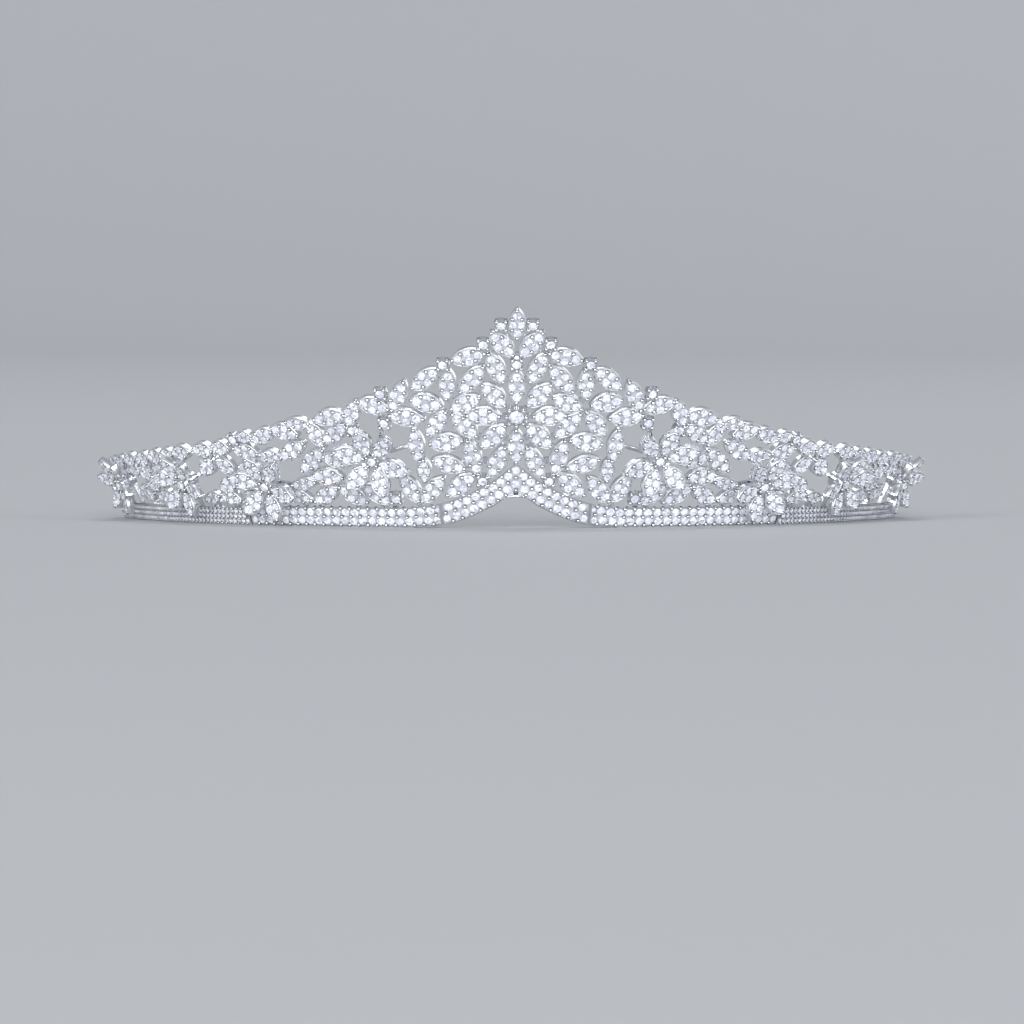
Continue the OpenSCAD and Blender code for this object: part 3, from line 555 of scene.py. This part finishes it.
STONE_SPOTS = [[-0.575, 0, 0.12], [0.575, 0, 0.12], [0, -0.50, 0.12], [0, 0.50, 0.12]]
BEAD_SPOTS = [[a, b, 0.0] for a in (-0.36, 0.36) for b in (-0.58, 0.58)]
END_STONE_SHARE, STONE_SHARE, BEAD_SHARE = 0.28, 0.252, 0.138
TIP_BEAD, TIP_BEAD_IN = 0.43, 0.3


def leaf_setting(leaves, name):
    """Stones and beads of a group of leaves; their radii are shares of each leaf's width."""
    centre, turned, long = leaves[:3]
    middle, axes, wide = on_leaves(leaves, STONE_SPOTS)
    share = np.tile([END_STONE_SHARE, END_STONE_SHARE, STONE_SHARE, STONE_SHARE], len(centre))
    add_piece(name + "_stones", mat=fine_stone, slot="clear_stone",
              **spread(stone_shape(), middle, sit_unevenly(axes), wide * share))
    middle, axes, wide = on_leaves(leaves, BEAD_SPOTS)
    reach = np.array([-1, 1]) * (long[:, None] / 2 - TIP_BEAD_IN)
    tips = centre[:, None] + turned[:, :1] * reach[:, :, None] * 0.001
    tip_axes = np.repeat(turned, 2, 0)
    middle = np.concatenate([middle, tips.reshape(-1, 3)])
    axes = np.concatenate([axes, tip_axes])
    size = np.concatenate([wide * BEAD_SHARE, np.full(len(tip_axes), TIP_BEAD)])
    add_piece(name + "_beads", mat=bright_bead, slot="white_metal", smooth=True,
              **spread(bead_shape(), middle, axes, size))


for name, leaves in LEAF_GROUPS.items():
    leaf_edges(leaves, name + "_edges")
    leaf_floors(leaves, name + "_floors")
    leaf_setting(leaves, name)


# Drilled backs
# Behind every stone the plate is drilled through and opened out with a round cutter, so that light
# reaches the stone. Each hole is a shallow dish laid just off the back face, seen from behind as a
# dark round of painted shade with a bright sloped edge.
LEAF_T, BAND_T, HOLE_SHARE = 1.1, 1.9, 0.6
HOLE_STEP = 0.012
# Radius and height of each ring of the dish
HOLE_RINGS = [(1.0, 0.0), (0.84, -0.02), (0.66, -0.012), (0.2, -0.012)]


def hole_shape():
    """A shallow dish of radius one seen from behind: bright outer ring, inner ring and middle dark with
    painted shade.
    """
    turn = -np.arange(BEAD_SIDES) * 2 * np.pi / BEAD_SIDES
    points = np.concatenate([flat_ring(turn, radius, height) for radius, height in HOLE_RINGS])
    rows = len(HOLE_RINGS)
    middle = np.arange(BEAD_SIDES)[None, :] + (rows - 1) * BEAD_SIDES
    # Painted shade for the open hole: the inner ring darkest, the middle a little lighter as a painted
    # glimmer of the stone's point.
    shade = np.repeat([0, 0, 1, 0.8], BEAD_SIDES)
    return points, [grid_faces(rows, BEAD_SIDES, closed=True), middle], shade


def drilled_backs(leaves, name):
    """A hole behind each of a leaf's four stones, drawn as a dish with painted shade just off its back face.
    """
    spots = [[a, b, -LEAF_T - HOLE_STEP] for a, b, lift in STONE_SPOTS]
    middle, axes, wide = on_leaves(leaves, spots)
    add_piece(name + "_drilled_backs", mat=polished, slot="white_metal",
              **spread(hole_shape(), middle, axes, wide * STONE_SHARE * HOLE_SHARE))


for name, leaves in LEAF_GROUPS.items():
    drilled_backs(leaves, name)


# Raised flowers
# Six leaves round a post, rising outwards, stand in front of the wall, with a larger stone in
# the middle. They are set with stones as the flat leaves are.
FLOWER_LIFT, PETAL_BELOW, PETAL_START, PETAL_RISE = 1.9, 0.2, 1.5, np.radians(16)
# Along, up, size
FLOWERS = np.array([[23.7, 14.0, 0.98], [44.6, 8.6, 0.95], [64.2, 8.6, 0.85], [86.6, 8.0, 0.78]])
# Turn from pointing left, length, width
PETALS = np.array([
    [-45, 5.6, 3.3], [22, 6.0, 3.4], [76, 5.6, 3.2], [129, 5.3, 3.1], [194, 6.0, 3.4], [253, 5.4, 3.2],
])


def lay_petals(hand):
    """Middle, directions, length and width of each petal, turned about its flower's middle and tipped up."""
    flower, petal = np.repeat(FLOWERS, len(PETALS), 0), np.tile(PETALS, (len(FLOWERS), 1))
    turn = np.radians(petal[:, 0])
    if hand < 0:
        turn = np.pi - turn
    flat = wall_axes(flower[:, 0] * hand, flower[:, 1])
    out = flat[:, 0] * np.cos(turn)[:, None] + flat[:, 1] * np.sin(turn)[:, None]
    y = flat[:, 1] * np.cos(turn)[:, None] - flat[:, 0] * np.sin(turn)[:, None]
    x = out * np.cos(PETAL_RISE) + flat[:, 2] * np.sin(PETAL_RISE)
    n = flat[:, 2] * np.cos(PETAL_RISE) - out * np.sin(PETAL_RISE)
    long = petal[:, 1] * flower[:, 2]
    lift = np.full(len(flower), FLOWER_LIFT - PETAL_BELOW - LACE_BACK)
    foot = wall(flower[:, 0] * hand, flower[:, 1], lift)
    middle = foot + x * (PETAL_START + long / 2)[:, None] * 0.001
    return middle, np.stack([x, y, n], 1), long, petal[:, 2] * flower[:, 2]


for hand, name in ((1, "left_petal"), (-1, "right_petal")):
    petals = lay_petals(hand)
    leaf_edges(petals, name + "_edges")
    leaf_floors(petals, name + "_floors")
    leaf_setting(petals, name)
    drilled_backs(petals, name)


# Accent stones, flower stones, star and rim stones
# Larger round stones in cups, each held by four beads pushed over its edge; the star has eight.
# The rim's stones fill its two rows.
CENTRE_ACCENTS = np.array([[2.3, 40.0], [4.95, 36.3], [11.1, 32.3], [5.6, 9.3]])
SIDE_ACCENTS = np.array([[21.3, 26.5], [26.9, 19.2], [21.3, 20.7], [21.0, 5.7], [50.0, 17.1]])
TOP_ACCENT, STAR = np.array([[0, 32.4]]), np.array([[0, 22.0]])
big_stone = white_stone("accent_white_stone", 2600, 0.9)
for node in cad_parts:
    if "_stone" in node:
        wear_finish(node, big_stone)

# A smaller stone fills what is left of each row beside a seam.
ROW_CLEAR = SEAM + RIM_EDGE + STONE_GAP + RIM_STONE / 2
LEAST_END_STONE, END_STONE_SINK = 0.25, 0.05
end_stones, row_places = [], []
for line in (low_line, high_line):
    steps = along_line(line, ROW_STEPS * PITCH)[0]
    for start, end in ((0, CENTRE_END), (CENTRE_END, SIDE_END)):
        row = steps[(steps >= (start + ROW_CLEAR if start else 0)) & (steps <= end - ROW_CLEAR)]
        row_places += [[along, np.interp(along, *line)] for along in row]
        free = [(row[-1] + RIM_STONE / 2, end - SEAM)]
        if start:
            free.append((start + SEAM, row[0] - RIM_STONE / 2))
        for near, far in free:
            middle = (near + far) / 2
            end_stones.append([middle, np.interp(middle, *line), (far - near) / 2 - STONE_GAP])
end_stones = np.array(end_stones)
end_stones = end_stones[end_stones[:, 2] > LEAST_END_STONE]
along, up, radius = np.concatenate([end_stones, end_stones * [-1, 1, 1]]).T
add_piece("rim_end_stones", mat=fine_stone, slot="clear_stone",
          **spread(stone_shape(), wall(along, up, -END_STONE_SINK), wall_axes(along, up),
                   np.minimum(radius, RIM_STONE / 2)))


def ring_of_beads(spots, lifts, count, ring, size, phase):
    """Beads spaced evenly on a circle round each stone."""
    along, up = np.repeat(spots[:, 0], count), np.repeat(spots[:, 1], count)
    flat = wall_axes(along, up)
    turn = np.tile(phase + np.arange(count) * 2 * np.pi / count, len(spots))
    middle = wall(along, up, np.repeat(lifts, count))
    middle = middle + (flat[:, 0] * np.cos(turn)[:, None] + flat[:, 1] * np.sin(turn)[:, None]) * ring * 0.001
    return middle, flat, np.full(len(middle), size)


PRONG_LIFT = 0.15
# How many beads, the circle that they stand on, their radius, and the first one's turn
CUP_PRONGS, STAR_PRONGS = (4, 1.14, 0.40, np.pi / 4), (8, 1.76, 0.37, 0)
accents = np.concatenate([CENTRE_ACCENTS, SIDE_ACCENTS])
accents = np.concatenate([accents, accents * [-1, 1], TOP_ACCENT])
flower_middles = np.concatenate([FLOWERS[:, :2], FLOWERS[:, :2] * [-1, 1]])
groups = [
    ring_of_beads(accents, np.full(len(accents), PRONG_LIFT), *CUP_PRONGS),
    ring_of_beads(flower_middles, np.full(len(flower_middles), FLOWER_LIFT + PRONG_LIFT), *CUP_PRONGS),
    ring_of_beads(STAR, np.full(len(STAR), PRONG_LIFT), *STAR_PRONGS),
]
middle, axes, size = (np.concatenate(part) for part in zip(*groups))
# The prongs' foot ring takes less painted shade than a bead's.
add_piece("prongs", mat=bright_bead, slot="white_metal", smooth=True,
          **spread(bead_shape(stem=2.5, dark=0.2), middle, axes, size))


# Holes behind the rim and the cups
# The rim and the foot of each cup are drilled through too, drawn as the same dishes with painted shade.
CUP_FOOT, STAR_FOOT, CUP_HOLE, STAR_HOLE, RIM_HOLE = 0.881, 1.354, 0.55, 0.75, 0.46
row_places = np.array(row_places)
row_places = np.concatenate([row_places, (row_places * [-1, 1])[row_places[:, 0] > 0]])
for name, spots, deep, radius in (
        ("rim_holes", row_places, BAND_T, RIM_HOLE),
        ("cup_holes", accents, LACE_BACK + CUP_FOOT, CUP_HOLE),
        ("star_hole", STAR, LACE_BACK + STAR_FOOT, STAR_HOLE)):
    along, up = spots.T
    middle = wall(along, up, np.full(len(spots), -deep - HOLE_STEP))
    add_piece(name, mat=polished, slot="white_metal",
              **spread(hole_shape(), middle, wall_axes(along, up), radius))


# Fine rows of the end rims
# The end sections carry three rows of the smallest stones in grooves, with a line of beads on
# each ridge between them and along both edges.
FINE_PITCH, FINE_STONE, FINE_BEAD = 1.06, 0.9, 0.27
FINE_SINK, FINE_START, FINE_STOP = 0.02, 0.95, 0.6
FINE_ROWS = np.array([0.783, 1.75, 2.717])
FINE_LINES = np.array([0.28, 1.267, 2.233, 3.22])
FINE_PLACES = np.arange(SIDE_END + FINE_START, JEWEL_END - FINE_STOP, FINE_PITCH)


def fine_rows(places, lines, lift):
    """Places in each line, every second line moved on by half a step."""
    shift = np.arange(len(lines)) % 2 * FINE_PITCH / 2
    along, up = (places[None, :] + shift[:, None]).ravel(), np.repeat(lines, len(places))
    along, up = np.concatenate([along, -along]), np.concatenate([up, up])
    return wall(along, up, np.full(len(along), lift)), wall_axes(along, up)


middle, axes = fine_rows(FINE_PLACES, FINE_ROWS, -FINE_SINK)
add_piece("end_rim_stones", mat=fine_stone, slot="clear_stone",
          **spread(stone_shape(), middle, sit_unevenly(axes), FINE_STONE / 2))
middle, axes = fine_rows(FINE_PLACES[:-1] + FINE_PITCH / 4, FINE_LINES, 0.0)
add_piece("end_rim_beads", mat=bright_bead, slot="white_metal", smooth=True,
          **spread(bead_shape(), middle, axes, FINE_BEAD))


# Arms
# A plain flat strip of the same metal runs back behind each ear. Its edges are rounded over, and
# a small ring of oval wire is soldered inside its end.
ARM_START, ARM_T, ARM_GAP, ARM_ROUND, ARM_FLAT = np.radians(62), 1.2, 0.1, 0.22, 0.05
LOOP_BORE, LOOP_WIRE, LOOP_LONG = 1.9, 0.8, 1.2
SOLDER_R, SOLDER_TALL, SOLDER_SINK, SOLDER_UP = 0.5, 1.3, 0.1, 0.62
ARM_STEPS, ARM_END_SIZE, LOOP_STEPS, WIRE_SIDES, LUMP_RINGS = 60, 0.94, 32, 12, 8
RING_R = LOOP_BORE / 2 + LOOP_WIRE
ARM_FOOT = RIM_R - (ARM_BACK + ARM_T) / np.cos(LEAN)
RING_X = ARM_FOOT * np.sin(ARM_END) - LOOP_BORE / 2 - ARM_GAP
RING_Y = MIDDLE_Y - ARM_FOOT * np.cos(ARM_END)
arm_metal = white_gold("arm_white_gold", (0.78, 0.79, 0.81, 1), 0.14, 500, 0.00002)


def arm_section():
    """The strip's section as radii and heights: flat below, leaning with the wall, square to it at the top.
    Two points round each corner, and one more on either side keeps the flats flat."""
    inner, outer = -ARM_BACK - ARM_T, -ARM_BACK
    foot = np.tan(LEAN)
    corners = np.array([[inner, inner * foot], [inner, ARM_TOP], [outer, ARM_TOP], [outer, outer * foot]])
    sides = np.roll(corners, -1, 0) - corners
    sides = sides / np.linalg.norm(sides, axis=1, keepdims=True)
    back, on = -np.roll(sides, 1, 0), sides
    near, far = ARM_ROUND, ARM_ROUND + ARM_FLAT
    moves = [back * far, back * near, on * near, on * far]
    points = np.stack([corners + move for move in moves], 1)
    lift, slant = points.reshape(-1, 2).T
    return RIM_R + slant * np.sin(LEAN) + lift * np.cos(LEAN), slant * np.cos(LEAN) - lift * np.sin(LEAN)


def arm_strip():
    """The section carried along the wall's circle, a little smaller at both ends, which are closed flat."""
    out, high = arm_section()
    turn = np.linspace(ARM_START, ARM_END, ARM_STEPS)[:, None]
    size = np.ones((ARM_STEPS, 1))
    size[[0, -1]] = ARM_END_SIZE
    out, high = out.mean() + (out - out.mean()) * size, high.mean() + (high - high.mean()) * size
    points = np.stack([out * np.sin(turn), MIDDLE_Y - out * np.cos(turn), high], -1) * 0.001
    side = out.shape[1]
    ends = [np.arange(side)[None, ::-1], np.arange(side)[None, :] + (ARM_STEPS - 1) * side]
    return points.reshape(-1, 3), [grid_faces(ARM_STEPS, side, closed=True)] + ends


def arm_ring():
    """The upright ring at the strip's end: an oval section carried round and joined to itself."""
    big = (np.arange(LOOP_STEPS) * 2 * np.pi / LOOP_STEPS)[:, None]
    small = (np.arange(WIRE_SIDES) * 2 * np.pi / WIRE_SIDES)[None, :]
    reach = (LOOP_BORE + LOOP_WIRE) / 2 + LOOP_WIRE / 2 * np.cos(small)
    points = np.stack([RING_X + reach * np.cos(big), RING_Y + LOOP_LONG / 2 * np.sin(small) + 0 * big,
                       RING_R + reach * np.sin(big)], -1) * 0.001
    faces = grid_faces(LOOP_STEPS + 1, WIRE_SIDES, closed=True) % (LOOP_STEPS * WIRE_SIDES)
    return points.reshape(-1, 3), [faces]


def solder_lump():
    """A small egg of solder between the ring and the strip."""
    lat = np.linspace(-np.pi / 2, np.pi / 2, LUMP_RINGS)[:, None]
    lon = (np.arange(WIRE_SIDES) * 2 * np.pi / WIRE_SIDES)[None, :]
    flat, high = np.cos(lat), SOLDER_TALL * np.sin(lat)
    egg = np.stack([flat * np.cos(lon), flat * np.sin(lon), high + 0 * lon], -1)
    place = np.array([RING_X + RING_R - SOLDER_SINK, RING_Y, RING_R * SOLDER_UP])
    points = (egg * SOLDER_R + place) * 0.001
    return closed_tube(points[1:-1], points[0, 0], points[-1, 0])


def arm(hand, name, node):
    """Strip, ring and solder as one piece for the left side, mirrored for the right."""
    points, faces, count = [], [], 0
    for part_points, part_faces in (arm_strip(), arm_ring(), solder_lump()):
        points.append(part_points * [hand, 1, 1])
        faces += [(group + count)[:, ::hand] for group in part_faces]
        count += len(part_points)
    piece = add_piece(name, np.concatenate(points), faces, arm_metal, "white_metal", smooth=True)
    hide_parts(node)
    return piece


arm(1, "left_arm_strip", "left_arm")
arm(-1, "right_arm_strip", "right_arm")


# Floor, lights and camera
# A plain pale sweep of paper, five large soft lights, and a long lens in front of the peak.
PAPER_NEAR, PAPER_SIDE, PAPER_TOP, BEND_AT, BEND_R = 7.0, 6.0, 5.0, 2.2, 1.8


def sweep_paper():
    """Flat all round the piece, then far behind it a quarter circle up into an upright wall."""
    bend = np.linspace(0, np.pi / 2, 40)
    y = np.concatenate([[-PAPER_NEAR], BEND_AT + BEND_R * np.sin(bend), [BEND_AT + BEND_R]])
    z = np.concatenate([[0.0], BEND_R - BEND_R * np.cos(bend), [PAPER_TOP]])
    points = np.stack([np.stack([np.full_like(y, x), y, z], -1) for x in (-PAPER_SIDE, PAPER_SIDE)], 0)
    mesh = bpy.data.meshes.new("paper")
    mesh.from_pydata(points.reshape(-1, 3).tolist(), [], grid_faces(2, len(y))[:, ::-1].tolist())
    mesh.polygons.foreach_set("use_smooth", np.ones(len(mesh.polygons), bool))
    paper = bpy.data.objects.new("paper", mesh)
    bpy.context.scene.collection.objects.link(paper)
    mat = bpy.data.materials.new("pale_paper")
    mat.use_nodes = True
    skin = mat.node_tree.nodes["Principled BSDF"]
    skin.inputs["Base Color"].default_value = (0.52, 0.525, 0.54, 1)
    skin.inputs["Roughness"].default_value = 0.6
    mesh.materials.append(mat)


sweep_paper()


def soft_light(name, place, aim, size, power, colour):
    """A square soft light that faces a point and stays out of the picture."""
    light = bpy.data.lights.new(name, "AREA")
    light.size = size
    light.energy = power
    light.color = colour
    lamp = bpy.data.objects.new(name, light)
    lamp.visible_camera = False
    bpy.context.scene.collection.objects.link(lamp)
    away = np.array(place) - np.array(aim)
    lamp.location = place
    lamp.rotation_euler = (np.arctan2(np.hypot(away[0], away[1]), away[2]), 0, np.arctan2(away[0], -away[1]))
    return lamp


soft_light("key", (-2.5, -3.8, 1.5), (0, 0, 0.02), 1.7, 92, (1, 0.99, 0.97))
soft_light("fill", (3.2, -3.3, 1.0), (0, 0, 0.02), 1.5, 55, (0.95, 0.97, 1))
soft_light("top", (0, 0.8, 3.0), (0, 1.8, 0.2), 1.8, 26, (1, 1, 1))
soft_light("back", (1.9, 2.6, 0.9), (0, 0, 0.02), 1.6, 9, (1, 1, 1))
soft_light("front", (0.0, -4.6, 0.6), (0, 0, 0.02), 2.0, 115, (1, 1, 1))

world = bpy.data.worlds.new("studio")
world.use_nodes = True
world.node_tree.nodes["Background"].inputs["Color"].default_value = (0.38, 0.40, 0.44, 1)
world.node_tree.nodes["Background"].inputs["Strength"].default_value = 1.0
bpy.context.scene.world = world

camera = bpy.data.cameras.new("camera")
camera.lens, camera.sensor_width = 327.4, 36
camera.clip_end = 20
eye = bpy.data.objects.new("camera", camera)
bpy.context.scene.collection.objects.link(eye)
FAR, ASIDE, ABOVE = 1.737, np.radians(0.9), np.radians(1.8)
aim = np.array([0.0, MIDDLE_Y * 0.001, 0.0])
level = FAR * np.cos(ABOVE)
eye.location = aim + np.array([-np.sin(ASIDE) * level, -np.cos(ASIDE) * level, FAR * np.sin(ABOVE)])
eye.rotation_euler = (np.pi / 2 - ABOVE, 0, -ASIDE)
camera.shift_x, camera.shift_y = 0.0027, 0.0032
bpy.context.scene.camera = eye
bpy.context.scene.view_settings.view_transform = "Standard"
